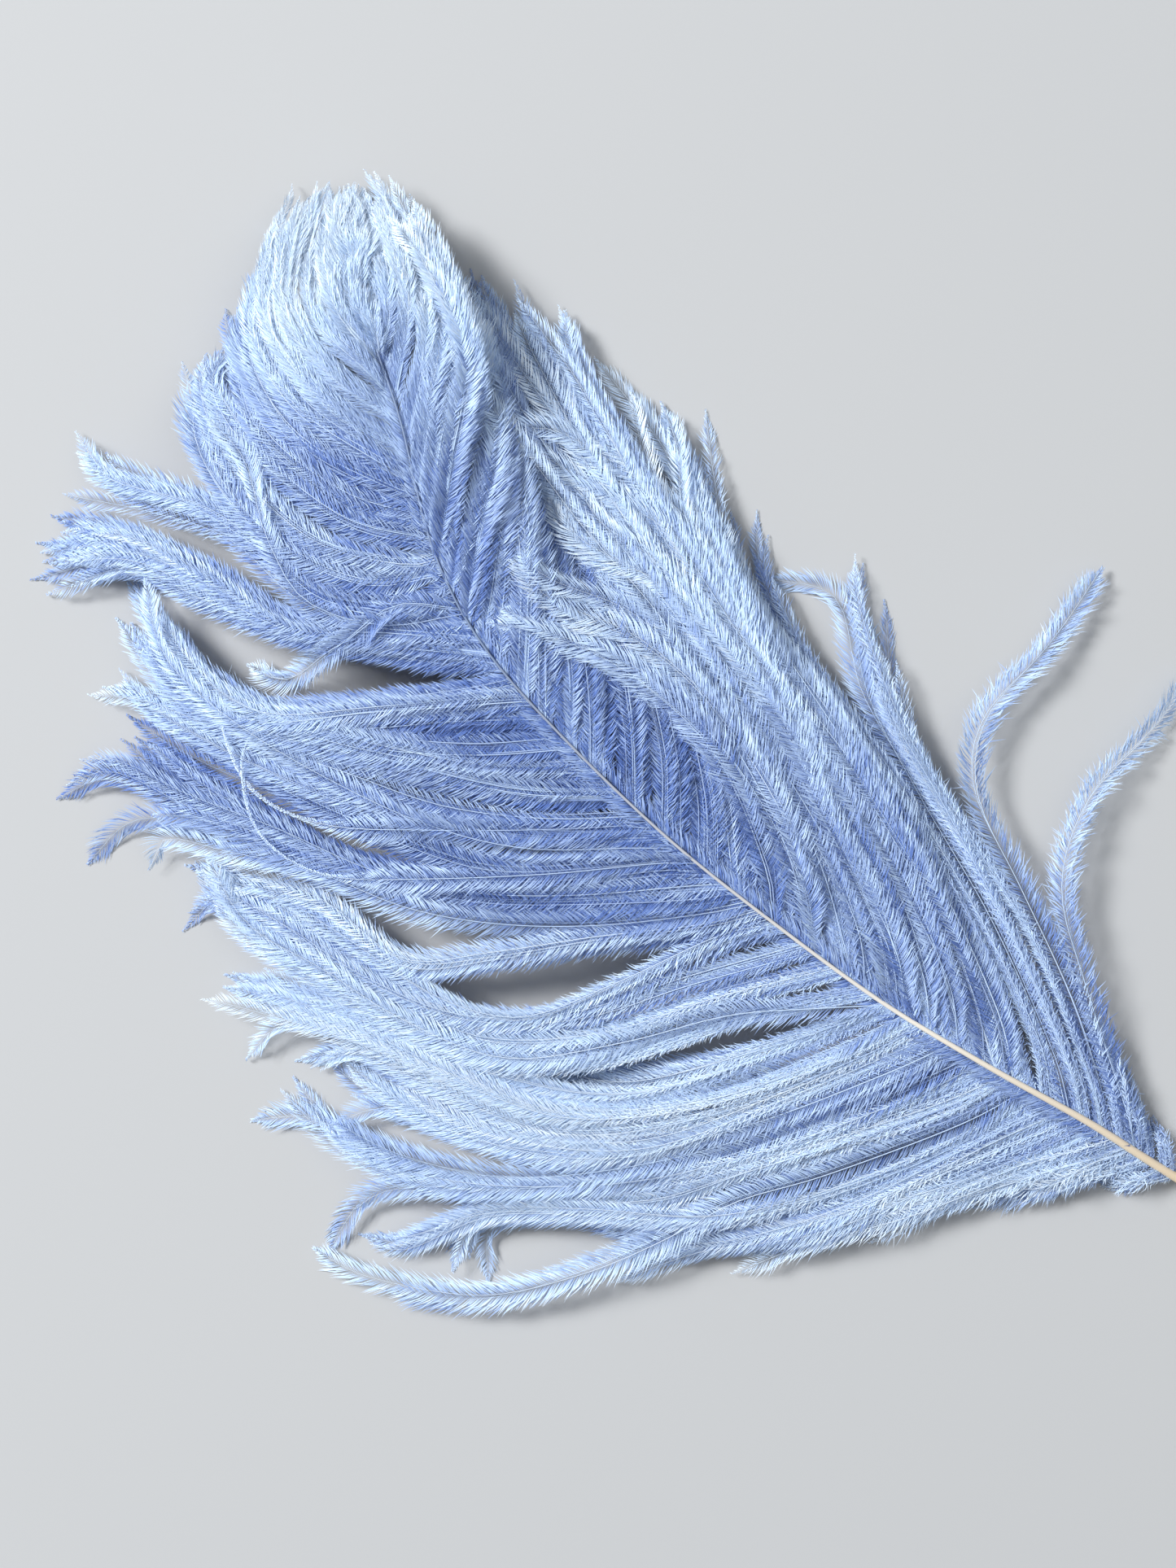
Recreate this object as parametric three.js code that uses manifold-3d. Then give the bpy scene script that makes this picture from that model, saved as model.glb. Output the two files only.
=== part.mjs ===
// An ostrich plume lying on its side: one quill, with a vane of soft barbs on either side that
// has parted into locks. The quill runs along +Y, from its cut end to the drooping tip, +X is
// the side of the straighter vane, and the plume rests on the plane z = 0.
// Millimetres. The origin is the middle of the box around the plume, at its base.
import * as THREE from "three";
import Module from "manifold-3d";
import { mergeVertices } from "three/addons/utils/BufferGeometryUtils.js";

// The quill: its line seen from above, its height at the same places, and its thickness.
const QUILL_END_RADIUS = 2.1;
const QUILL_TIP_RADIUS = 0.3;
const QUILL_TAPER = 4; // how much sooner than evenly the quill grows thin
const QUILL_SIDES = 6;
const QUILL_STEPS = 16;
const QUILL_LINE = [
  [61, -247, 2.3], [49, -206, 5], [41, -171, 9], [30, -132, 14], [20, -91, 18], [13, -46, 22],
  [8, -1, 25], [7, 49, 28], [10, 90, 30], [21, 124, 30], [43, 161, 28], [54, 183, 26],
  [63, 200, 23], [75, 221, 18],
];

// The locks: how far they arch, how one layer lies above the next, and how thick they are.
const ARCH = 4;
const LAYER_STEP = 1.3;
const LAYER_BY = 0.45; // the share of its length by which a lock has reached its layer
const RISE_AT_TIP = 0.5; // the share of the arch and the layer that is left at the tip
const TIP_HEIGHT = 0.7;
const FALL_POWER = 1.7;
const LOCK_HALF_THICKNESS = 1.5;
const LOCK_TIP_HALF_THICKNESS = 0.6;
const FRINGE = 6; // what the barbules add to a lock's width
const LEAVES_BY = 0.3; // the share of its length by which a lock has turned from the quill
const TAPERS_FROM = 0.55; // the share of its length from which a lock narrows
const LOCK_TIP_WIDTH = 1;
const LOCK_STEP_LENGTH = 39; // roughly how far apart a lock's sections are
const FEWEST_LOCK_STEPS = 3;

// A lock leaves the quill at the height root along Y, from a stretch of it span long. width is
// how wide its barbs spread, without their barbules, layer is how far it lies over the others,
// and line is its middle, seen from above, out to its tip.
const lock = (root, span, width, layer, line) => ({ root, span, width, layer, line });

const LEFT_LOCKS = [
  lock(-203, 7, 3, 0, [[42, -199], [36, -195], [30, -189]]),
  lock(-194, 8, 4, 0, [[35, -188], [23, -180], [13, -173], [5, -170]]),
  lock(-185, 8, 6, 0, [[30, -177], [-3, -159], [-39, -143]]),
  lock(-175, 8, 7, 0, [[1, -158], [-41, -137], [-78, -115]]),
  lock(-167, 7, 7, 0, [[-5, -148], [-49, -130], [-84, -105], [-112, -93]]),
  lock(-161, 6, 4, 1, [[16, -152], [-37, -133], [-79, -108], [-100, -79], [-111, -58]]),
  lock(-154, 6, 4, 1, [[-16, -136], [-67, -108], [-102, -71], [-126, -48], [-153, -35], [-160, -21]]),
  lock(-147, 4, 2, 3,
    [[9, -139], [-35, -119], [-63, -104], [-89, -96], [-119, -84], [-149, -66], [-173, -35], [-180, -15]]),
  lock(-139, 6, 6, 1,
    [[10, -130], [-22, -114], [-56, -96], [-82, -83], [-108, -61], [-130, -48], [-149, -59]]),
  lock(-132, 4, 3, 1, [[5, -123], [-44, -100], [-87, -72], [-127, -33], [-143, 2], [-144, 32]]),
  lock(-117, 4, 2, 2, [[3, -108], [-43, -87], [-87, -60], [-110, -28], [-126, -2], [-145, 6]]),
  lock(-112, 6, 7, 2, [[-24, -92], [-72, -69], [-104, -34], [-120, 2], [-128, 27]]),
  lock(-102, 5, 6, 3,
    [[0, -94], [-45, -72], [-81, -42], [-99, -5], [-113, 28], [-129, 56], [-140, 75]]),
  lock(-96, 4, 5, 2, [[-24, -76], [-65, -52], [-91, -17], [-105, 20], [-120, 53], [-130, 75]]),
  lock(-85, 8, 6, 0,
    [[-19, -60], [-60, -38], [-86, -12], [-99, 22], [-109, 56], [-114, 82], [-108, 107]]),
  lock(-60, 8, 4, 1, [[-22, -39], [-56, -21], [-84, 6], [-98, 40], [-105, 72], [-116, 96], [-132, 98]]),
  lock(-41, 6, 4, 2, [[-4, -31], [-33, -8], [-62, 13], [-85, 33], [-91, 66], [-104, 89], [-115, 110]]),
  lock(-35, 4, 2, 3,
    [[-3, -25], [-29, -4], [-52, 20], [-70, 46], [-83, 76], [-99, 102], [-111, 123], [-125, 124]]),
  lock(-31, 4, 2, 2,
    [[-1, -22], [-27, 2], [-52, 28], [-71, 56], [-88, 87], [-100, 117], [-117, 135], [-139, 138]]),
  lock(-26, 4, 3, 1,
    [[-1, -16], [-28, 7], [-53, 33], [-72, 62], [-85, 94], [-99, 124], [-110, 150], [-129, 161]]),
  lock(-19, 6, 6, 0, [[-1, -8], [-28, 14], [-53, 39], [-74, 68], [-85, 100], [-94, 131], [-98, 156]]),
  lock(-9, 4, 4, 1, [[-16, 11], [-42, 36], [-58, 68], [-72, 102], [-81, 134], [-83, 161]]),
  lock(1, 6, 6, 2, [[-15, 24], [-37, 51], [-55, 81], [-70, 113], [-82, 147], [-82, 173]]),
  lock(12, 4, 2, 2, [[-16, 34], [-37, 61], [-53, 92], [-69, 124], [-82, 153], [-99, 174]]),
  lock(22, 8, 6, 1, [[-15, 45], [-35, 75], [-53, 104], [-70, 135], [-72, 164], [-66, 185]]),
  lock(34, 8, 6, 2, [[-16, 57], [-36, 85], [-54, 115], [-65, 144], [-63, 172], [-57, 193]]),
  lock(45, 7, 6, 1, [[-17, 66], [-40, 93], [-58, 123], [-68, 152], [-67, 177]]),
  lock(66, 6, 4, 2, [[-4, 76], [-31, 99], [-60, 125], [-68, 153], [-61, 176]]),
  lock(80, 4, 4, 0, [[-11, 106], [-31, 136], [-45, 168], [-55, 194], [-81, 213]]),
  lock(86, 4, 5, 2, [[-11, 111], [-31, 138], [-42, 170], [-54, 198], [-82, 219]]),
  lock(92, 4, 5, 3, [[-10, 116], [-31, 140], [-39, 172], [-51, 201], [-74, 222]]),
  lock(97, 4, 4, 2, [[-12, 117], [-32, 139], [-40, 171], [-51, 201], [-68, 228]]),
  lock(101, 2, 2, 4, [[-9, 117], [-22, 142], [-16, 165], [-3, 189], [-3, 211]]),
  lock(107, 4, 3, 2, [[-12, 124], [-22, 145], [-24, 175], [-36, 204], [-49, 232]]),
  lock(111, 4, 3, 3, [[2, 116], [-16, 138], [-19, 163], [-24, 191], [-39, 221], [-36, 241]]),
  lock(117, 4, 4, 2, [[-3, 133], [-14, 163], [-12, 196], [-2, 216], [14, 218]]),
  lock(121, 4, 3, 3, [[10, 128], [-5, 154], [-6, 191], [3, 217], [13, 229]]),
  lock(126, 4, 4, 2, [[7, 151], [2, 187], [8, 215], [23, 223]]),
  lock(132, 6, 5, 1, [[12, 157], [8, 193], [22, 219], [33, 232]]),
  lock(139, 6, 6, 2, [[24, 150], [15, 183], [23, 215], [41, 228], [49, 236]]),
  lock(146, 6, 6, 3, [[29, 158], [23, 191], [33, 220], [55, 233], [59, 243]]),
  lock(154, 6, 6, 4, [[31, 182], [35, 212], [52, 232], [72, 242]]),
  lock(163, 6, 6, 5, [[39, 189], [44, 216], [63, 233], [79, 243]]),
  lock(172, 6, 5, 6, [[48, 184], [49, 207], [64, 227], [85, 241]]),
  lock(194, 4, 4, 7, [[60, 201], [71, 215], [91, 231]]),
];

const RIGHT_LOCKS = [
  lock(-203, 7, 3, 0, [[52, -198], [55, -192], [56, -186]]),
  lock(-194, 7, 4, 0, [[51, -188], [55, -181], [58, -173], [61, -165]]),
  lock(-186, 7, 5, 1, [[50, -178], [57, -167], [63, -156], [67, -145]]),
  lock(-190, 2, 2, 2, [[52, -179], [73, -137], [91, -108], [119, -93], [151, -91], [176, -87]]),
  lock(-182, 2, 2, 2, [[65, -141], [81, -98], [93, -64], [113, -49], [146, -47], [179, -40]]),
  lock(-177, 6, 3, 1, [[51, -163], [70, -118], [80, -77], [88, -41], [100, -14], [115, 7]]),
  lock(-169, 6, 3, 2, [[50, -153], [68, -106], [81, -62], [92, -22], [106, 8], [119, 25]]),
  lock(-163, 4, 2, 1, [[49, -145], [67, -98], [80, -50], [91, -13], [108, 16], [96, 39]]),
  lock(-156, 7, 3, 2, [[49, -137], [66, -87], [78, -35], [84, 9], [96, 42], [110, 57]]),
  lock(-147, 8, 7, 1, [[56, -103], [71, -49], [80, -1], [85, 40], [96, 65]]),
  lock(-138, 6, 4, 3, [[54, -93], [68, -40], [77, 8], [85, 48], [100, 76], [110, 99]]),
  lock(-128, 7, 6, 2, [[52, -83], [65, -31], [73, 16], [82, 59], [90, 97], [97, 133], [107, 157]]),
  lock(-119, 7, 6, 1, [[50, -73], [62, -23], [69, 26], [78, 71], [85, 109], [93, 144], [104, 165]]),
  lock(-110, 7, 7, 2, [[48, -63], [59, -14], [67, 34], [76, 80], [84, 119], [92, 152], [99, 174]]),
  lock(-100, 7, 7, 1, [[46, -53], [56, -5], [64, 43], [71, 90], [79, 128], [88, 159], [97, 181]]),
  lock(-87, 7, 7, 0, [[43, -44], [54, 4], [61, 52], [65, 96], [74, 133], [84, 164], [96, 187]]),
  lock(-77, 8, 7, 1, [[41, -35], [50, 12], [54, 57], [57, 99], [66, 134], [79, 165], [92, 189]]),
  lock(-52, 7, 7, 0, [[44, -11], [55, 30], [56, 66], [62, 100]]),
  lock(-34, 10, 7, 1, [[40, 5], [53, 44], [57, 79], [65, 108]]),
  lock(-18, 10, 7, 0, [[28, 2], [48, 37], [57, 72], [67, 102]]),
  lock(-2, 10, 7, 1, [[28, 19], [49, 53], [58, 83], [71, 110]]),
  lock(32, 8, 7, 1, [[25, 51], [44, 77], [57, 104], [74, 127]]),
  lock(57, 7, 6, 1, [[25, 75], [46, 99], [62, 123], [86, 147]]),
  lock(68, 6, 6, 3, [[37, 95], [56, 118], [77, 143], [98, 166]]),
  lock(79, 6, 6, 2, [[40, 105], [61, 126], [82, 153], [96, 177]]),
  lock(89, 6, 5, 3, [[43, 114], [64, 135], [83, 162], [90, 184]]),
  lock(99, 5, 5, 4, [[34, 116], [60, 134], [79, 161], [92, 193]]),
  lock(110, 5, 5, 5, [[37, 126], [66, 146], [82, 175], [90, 203]]),
  lock(119, 5, 4, 6, [[42, 136], [71, 157], [85, 185], [93, 215]]),
  lock(129, 5, 4, 7, [[47, 147], [75, 167], [86, 197], [96, 220]]),
  lock(142, 6, 4, 8, [[51, 156], [77, 175], [89, 201], [100, 233]]),
  lock(157, 6, 4, 9, [[69, 175], [84, 198], [95, 225]]),
  lock(184, 5, 3, 9, [[67, 191], [80, 209], [88, 231]]),
];

const wasm = await Module();
wasm.setup();

const UP = new THREE.Vector3(0, 0, 1);
const SAME_POINT = 1e-5;
const CURVE_TENSION = 0.5;
const HALVINGS = 24;
const BARB_BLUE = 0x97a6d2;

// A lock's section: its corners across and up, in half widths and half thicknesses.
const LENS = [[-1, 0], [0, -0.8], [1, 0], [0, 1]];

// A section with straight sides through the given corners.
function section(corners) {
  return new THREE.Shape(corners.map(([x, y]) => new THREE.Vector2(x, y)));
}

// A straight bar of unit length, bent so that each of its vertices goes where place puts it.
function bentBar(corners, steps, place) {
  const bar = new THREE.ExtrudeGeometry(section(corners), {
    depth: 1,
    steps,
    bevelEnabled: false,
  });
  bar.deleteAttribute("normal");
  bar.deleteAttribute("uv");
  const merged = mergeVertices(bar, SAME_POINT);
  const position = merged.getAttribute("position");
  const corner = new THREE.Vector3();
  for (let i = 0; i < position.count; i += 1) {
    corner.fromBufferAttribute(position, i);
    const placed = place(corner.x, corner.y, corner.z);
    position.setXYZ(i, placed.x, placed.y, placed.z);
  }
  return merged;
}

function solidOf(geometry) {
  return new wasm.Manifold(
    new wasm.Mesh({
      numProp: 3,
      vertProperties: new Float32Array(geometry.getAttribute("position").array),
      triVerts: new Uint32Array(geometry.index.array),
    }),
  );
}

function smoothCurve(points) {
  return new THREE.CatmullRomCurve3(points, false, "catmullrom", CURVE_TENSION);
}

const quillCurve = smoothCurve(QUILL_LINE.map((point) => new THREE.Vector3(...point)));

// The point of the quill's middle line at a height along Y.
function quillAt(y) {
  let low = 0;
  let high = 1;
  for (let i = 0; i < HALVINGS; i += 1) {
    const middle = (low + high) / 2;
    if (quillCurve.getPoint(middle).y < y) {
      low = middle;
    } else {
      high = middle;
    }
  }
  return quillCurve.getPoint(low);
}

function makeQuill() {
  const round = [];
  for (let i = 0; i < QUILL_SIDES; i += 1) {
    const angle = ((i + 0.5) * 2 * Math.PI) / QUILL_SIDES;
    round.push([Math.cos(angle), Math.sin(angle)]);
  }
  return bentBar(round, QUILL_STEPS, (across, up, along) => {
    const thick = (1 - along) ** QUILL_TAPER;
    const radius = THREE.MathUtils.lerp(QUILL_TIP_RADIUS, QUILL_END_RADIUS, thick);
    const side = new THREE.Vector3().crossVectors(UP, quillCurve.getTangent(along)).normalize();
    return quillCurve
      .getPoint(along)
      .addScaledVector(side, across * radius)
      .addScaledVector(UP, up * radius);
  });
}

// A lock is a flat lens of a bar. It starts along the quill and narrows to its tip, and it
// falls from the quill's height to the surface that the plume lies on.
function makeLock({ root, span, width, layer, line }) {
  const start = quillAt(root);
  const plan = [[start.x, start.y], ...line].map(([x, y]) => new THREE.Vector3(x, y, 0));
  const curve = smoothCurve(plan);
  const alongQuill = quillAt(root + 1).sub(start).setZ(0).normalize();
  const steps = Math.max(FEWEST_LOCK_STEPS, Math.round(curve.getLength() / LOCK_STEP_LENGTH));
  return bentBar(LENS, steps, (across, up, along) => {
    const point = curve.getPoint(along);
    const forward = curve.getTangent(along);
    const side = new THREE.Vector3().crossVectors(UP, forward).normalize();
    const quillSide = alongQuill.clone().multiplyScalar(Math.sign(side.dot(alongQuill)));
    const leaving = 1 - THREE.MathUtils.smoothstep(along, 0, LEAVES_BY);
    side.lerp(quillSide, leaving).normalize();
    const spread = THREE.MathUtils.lerp(span, width + FRINGE, 1 - leaving);
    const taper = 1 - THREE.MathUtils.smoothstep(along, TAPERS_FROM, 1);
    const halfWidth = THREE.MathUtils.lerp(LOCK_TIP_WIDTH, spread, taper) / 2;
    const halfThickness = THREE.MathUtils.lerp(LOCK_TIP_HALF_THICKNESS, LOCK_HALF_THICKNESS, taper);
    const fallen = along ** FALL_POWER;
    const layered = layer * LAYER_STEP * Math.min(1, along / LAYER_BY);
    const rise = ARCH * Math.sin(Math.PI * along) + layered;
    const fall = THREE.MathUtils.lerp(start.z, TIP_HEIGHT, fallen);
    point.z = fall + rise * THREE.MathUtils.lerp(1, RISE_AT_TIP, along);
    return point
      .addScaledVector(side, across * halfWidth)
      .addScaledVector(UP, up * halfThickness);
  });
}

let plume = solidOf(makeQuill());
for (const entry of [...LEFT_LOCKS, ...RIGHT_LOCKS]) {
  plume = plume.add(solidOf(makeLock(entry)));
}

const joined = plume.getMesh();
const geometry = new THREE.BufferGeometry();
geometry.setAttribute("position", new THREE.BufferAttribute(joined.vertProperties, 3));
geometry.setIndex(new THREE.BufferAttribute(joined.triVerts, 1));

// The plume rests on z = 0, with the middle of its box over the origin.
geometry.computeBoundingBox();
const box = geometry.boundingBox;
const middle = box.getCenter(new THREE.Vector3());
geometry.translate(-middle.x, -middle.y, -box.min.z);
geometry.computeVertexNormals();

const feather = new THREE.Mesh(
  geometry,
  new THREE.MeshStandardMaterial({ color: BARB_BLUE, roughness: 0.85, metalness: 0 }),
);
feather.name = "feather";

const group = new THREE.Group();
group.add(feather);
export default group;
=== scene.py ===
"""A blue ostrich plume lying on a pale surface, with every barb and barbule as mesh."""
import math
from collections import namedtuple

import bpy
import numpy as np
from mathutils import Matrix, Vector


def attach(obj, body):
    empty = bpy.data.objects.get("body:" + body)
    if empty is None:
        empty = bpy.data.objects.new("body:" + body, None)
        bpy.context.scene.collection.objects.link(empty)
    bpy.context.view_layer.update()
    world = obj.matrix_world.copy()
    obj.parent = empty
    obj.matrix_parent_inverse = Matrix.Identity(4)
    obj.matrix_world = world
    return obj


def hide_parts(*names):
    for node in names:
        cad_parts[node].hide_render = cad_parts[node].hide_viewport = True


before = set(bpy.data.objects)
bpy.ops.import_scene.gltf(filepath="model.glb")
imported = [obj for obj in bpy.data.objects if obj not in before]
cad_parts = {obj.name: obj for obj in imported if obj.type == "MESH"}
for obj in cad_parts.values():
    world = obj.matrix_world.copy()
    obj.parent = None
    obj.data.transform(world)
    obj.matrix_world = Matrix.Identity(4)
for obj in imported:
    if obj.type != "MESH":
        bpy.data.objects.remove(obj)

MM = 0.001

# What is added to the lines below to bring them into the frame, in millimetres.
TO_FRAME = (0.7, 2.0, 0)

# The quill's middle line in millimetres: across, along and height. It is the solid's line.
# The quill thins from its cut end to its tip, faster at first, as the taper's power says.
QUILL_LINE = (
    (61, -247, 2.3), (49, -206, 5), (41, -171, 9), (30, -132, 14), (20, -91, 18), (13, -46, 22),
    (8, -1, 25), (7, 49, 28), (10, 90, 30), (21, 124, 30), (43, 161, 28), (54, 183, 26),
    (63, 200, 23), (75, 221, 18),
)
QUILL_END_RADIUS = 2.1
QUILL_TIP_RADIUS = 0.34
QUILL_TAPER = 4

# How far the locks arch, how one layer lies above the next and how they come down to the
# surface, the same as in the solid.
ARCH = 4
LAYER_STEP = 1.3
LAYER_BY = 0.45
TIP_HEIGHT = 0.7
FALL_POWER = 1.7

# A lock: where it leaves the quill along Y, the stretch of quill it grows from, how wide its
# barbs spread, its layer, how many barbs it has, and its middle line out to the tip.
Lock = namedtuple("Lock", "root span width layer count line")

LEFT_LOCKS = (
    (-203, 7, 3, 0, 14, ((42, -199), (36, -195), (30, -189))),
    (-194, 8, 4, 0, 16, ((35, -188), (23, -180), (13, -173), (5, -170))),
    (-189, 8, 7, 1, 16, ((33, -182), (19, -176), (7, -168), (-5, -161))),
    (-185, 8, 6, 0, 16, ((30, -177), (-3, -159), (-39, -143))),
    (-175, 8, 7, 0, 16, ((1, -158), (-41, -137), (-78, -115))),
    (-167, 7, 7, 0, 14, ((-5, -148), (-49, -130), (-84, -105), (-112, -93))),
    (-161, 6, 4, 1, 10, ((16, -152), (-37, -133), (-79, -108), (-100, -79), (-111, -58))),
    (-154, 6, 4, 1, 12, ((-16, -136), (-67, -108), (-102, -71), (-126, -48), (-153, -35), (-160, -21))),
    (-147, 4, 2, 3, 2,
     ((9, -139), (-35, -119), (-63, -104), (-89, -96), (-119, -84), (-149, -66), (-173, -35), (-180, -15))),
    (-143, 6, 6, 0, 14, ((8, -135), (-31, -115), (-70, -94), (-99, -76))),
    (-135, 4, 6, 0, 12, ((-14, -114), (-60, -89), (-101, -63))),
    (-139, 6, 6, 1, 12,
     ((10, -130), (-22, -114), (-56, -96), (-82, -83), (-108, -61), (-130, -48), (-149, -59))),
    (-132, 4, 3, 1, 8, ((5, -123), (-44, -100), (-87, -72), (-127, -33), (-143, 2), (-144, 32))),
    (-127, 3, 2, 0, 2, ((-20, -108), (-67, -84), (-112, -50), (-137, -23), (-153, -14), (-176, -17))),
    (-122, 4, 2, 1, 2, ((-19, -104), (-67, -80), (-109, -47), (-134, -12), (-145, 16), (-163, 30))),
    (-117, 4, 2, 2, 2, ((3, -108), (-43, -87), (-87, -60), (-110, -28), (-126, -2), (-145, 6))),
    (-112, 6, 7, 2, 14, ((-24, -92), (-72, -69), (-104, -34), (-120, 2), (-128, 27))),
    (-106, 4, 3, 1, 8, ((0, -98), (-49, -76), (-88, -45), (-106, -6), (-118, 23), (-138, 33))),
    (-102, 5, 6, 3, 10,
     ((0, -94), (-45, -72), (-81, -42), (-99, -5), (-113, 28), (-129, 56), (-140, 75))),
    (-99, 3, 2, 1, 1,
     ((-2, -90), (-48, -69), (-82, -39), (-99, -5), (-113, 28), (-129, 48), (-148, 47))),
    (-96, 4, 5, 2, 10, ((-24, -76), (-65, -52), (-91, -17), (-105, 20), (-120, 53), (-130, 75))),
    (-93, 4, 4, 0, 10, ((-20, -73), (-60, -49), (-85, -15))),
    (-93, 2, 2, 4, 1,
     ((3, -77), (-20, -57), (-52, -38), (-84, -14), (-99, 19), (-106, 52), (-113, 80), (-107, 107))),
    (-85, 8, 6, 0, 12,
     ((-19, -60), (-60, -38), (-86, -12), (-99, 22), (-109, 56), (-114, 82), (-108, 107))),
    (-72, 8, 6, 1, 12, ((-18, -51), (-54, -32), (-83, -5), (-97, 28), (-109, 56), (-122, 75))),
    (-60, 8, 4, 1, 10,
     ((-22, -39), (-56, -21), (-84, 6), (-98, 40), (-105, 72), (-116, 96), (-132, 98))),
    (-49, 6, 4, 2, 8,
     ((-3, -38), (-38, -25), (-70, -10), (-86, 16), (-95, 54), (-105, 84), (-118, 79))),
    (-41, 6, 4, 2, 8, ((-4, -31), (-33, -8), (-62, 13), (-85, 33), (-91, 66), (-104, 89), (-115, 110))),
    (-35, 4, 2, 3, 2,
     ((-3, -25), (-29, -4), (-52, 20), (-70, 46), (-83, 76), (-99, 102), (-111, 123), (-125, 124))),
    (-31, 4, 2, 2, 2,
     ((-1, -22), (-27, 2), (-52, 28), (-71, 56), (-88, 87), (-100, 117), (-117, 135), (-139, 138))),
    (-26, 4, 3, 1, 8,
     ((-1, -16), (-28, 7), (-53, 33), (-72, 62), (-85, 94), (-99, 124), (-110, 150), (-129, 161))),
    (-19, 6, 6, 0, 12, ((-1, -8), (-28, 14), (-53, 39), (-74, 68), (-85, 100), (-94, 131), (-98, 156))),
    (-14, 3, 1, 5, 1, ((-2, -3), (-30, 20), (-59, 47), (-83, 74), (-89, 100), (-76, 119), (-59, 124))),
    (-9, 4, 4, 1, 8, ((-16, 11), (-42, 36), (-58, 68), (-72, 102), (-81, 134), (-83, 161))),
    (-6, 2, 2, 4, 1, ((-2, 5), (-28, 31), (-46, 60), (-59, 94), (-67, 130), (-68, 164), (-55, 188))),
    (1, 6, 6, 2, 12, ((-15, 24), (-37, 51), (-55, 81), (-70, 113), (-82, 147), (-82, 173))),
    (7, 2, 1, 5, 1, ((-19, 31), (-47, 59), (-71, 86), (-80, 112), (-70, 136), (-55, 146))),
    (12, 4, 2, 2, 2, ((-16, 34), (-37, 61), (-53, 92), (-69, 124), (-82, 153), (-99, 174))),
    (22, 8, 6, 1, 12, ((-15, 45), (-35, 75), (-53, 104), (-70, 135), (-72, 164), (-66, 185))),
    (34, 8, 6, 2, 12, ((-16, 57), (-36, 85), (-54, 115), (-65, 144), (-63, 172), (-57, 193))),
    (45, 7, 6, 1, 12, ((-17, 66), (-40, 93), (-58, 123), (-68, 152), (-67, 177))),
    (56, 7, 4, 0, 10, ((-16, 78), (-43, 102), (-64, 129), (-72, 155), (-62, 177))),
    (66, 6, 4, 2, 10, ((-4, 76), (-31, 99), (-60, 125), (-68, 153), (-61, 176))),
    (73, 5, 4, 0, 10, ((-6, 82), (-34, 104), (-58, 128), (-64, 153))),
    (80, 4, 4, 0, 8, ((-11, 106), (-31, 136), (-45, 168), (-55, 194), (-81, 213))),
    (86, 4, 5, 2, 10, ((-11, 111), (-31, 138), (-42, 170), (-54, 198), (-82, 219))),
    (92, 4, 5, 3, 10, ((-10, 116), (-31, 140), (-39, 172), (-51, 201), (-74, 222))),
    (97, 4, 4, 2, 8, ((-12, 117), (-32, 139), (-40, 171), (-51, 201), (-68, 228))),
    (101, 2, 2, 4, 1, ((-9, 117), (-22, 142), (-16, 165), (-3, 189), (-3, 211))),
    (103, 2, 2, 5, 2, ((-2, 119), (-24, 123), (-44, 129), (-53, 143))),
    (107, 4, 3, 2, 2, ((-12, 124), (-22, 145), (-24, 175), (-36, 204), (-49, 232))),
    (111, 4, 3, 3, 8, ((2, 116), (-16, 138), (-19, 163), (-24, 191), (-39, 221), (-36, 241))),
    (117, 4, 4, 2, 10, ((-3, 133), (-14, 163), (-12, 196), (-2, 216), (14, 218))),
    (121, 4, 3, 3, 8, ((10, 128), (-5, 154), (-6, 191), (3, 217), (13, 229))),
    (126, 4, 4, 2, 8, ((7, 151), (2, 187), (8, 215), (23, 223))),
    (132, 6, 5, 1, 10, ((12, 157), (8, 193), (22, 219), (33, 232))),
    (139, 6, 6, 2, 10, ((24, 150), (15, 183), (23, 215), (41, 228), (49, 236))),
    (146, 6, 6, 3, 12, ((29, 158), (23, 191), (33, 220), (55, 233), (59, 243))),
    (154, 6, 6, 4, 12, ((31, 182), (35, 212), (52, 232), (72, 242))),
    (163, 6, 6, 5, 12, ((39, 189), (44, 216), (63, 233), (79, 243))),
    (172, 6, 5, 6, 12, ((48, 184), (49, 207), (64, 227), (85, 241))),
    (182, 5, 4, 7, 10, ((55, 202), (66, 220), (86, 234))),
    (184, 6, 8, 5, 12, ((58, 204), (76, 222), (92, 233))),
    (195, 4, 7, 5, 12, ((70, 198), (81, 214), (91, 232))),
    (177, 4, 5, 0, 12, ((58, 183), (70, 202), (81, 219))),
    (180, 4, 5, 0, 12, ((56, 190), (67, 207), (79, 222))),
    (184, 4, 4, 7, 12, ((59, 190), (67, 203), (76, 215))),
    (190, 4, 4, 7, 12, ((60, 197), (68, 209), (76, 220))),
    (198, 4, 10, 6, 16, ((66, 206), (78, 222), (88, 236))),
    (205, 4, 10, 6, 16, ((71, 210), (76, 215), (81, 221), (88, 228))),
    (194, 4, 4, 7, 10, ((60, 201), (71, 215), (91, 231))),
)

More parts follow.
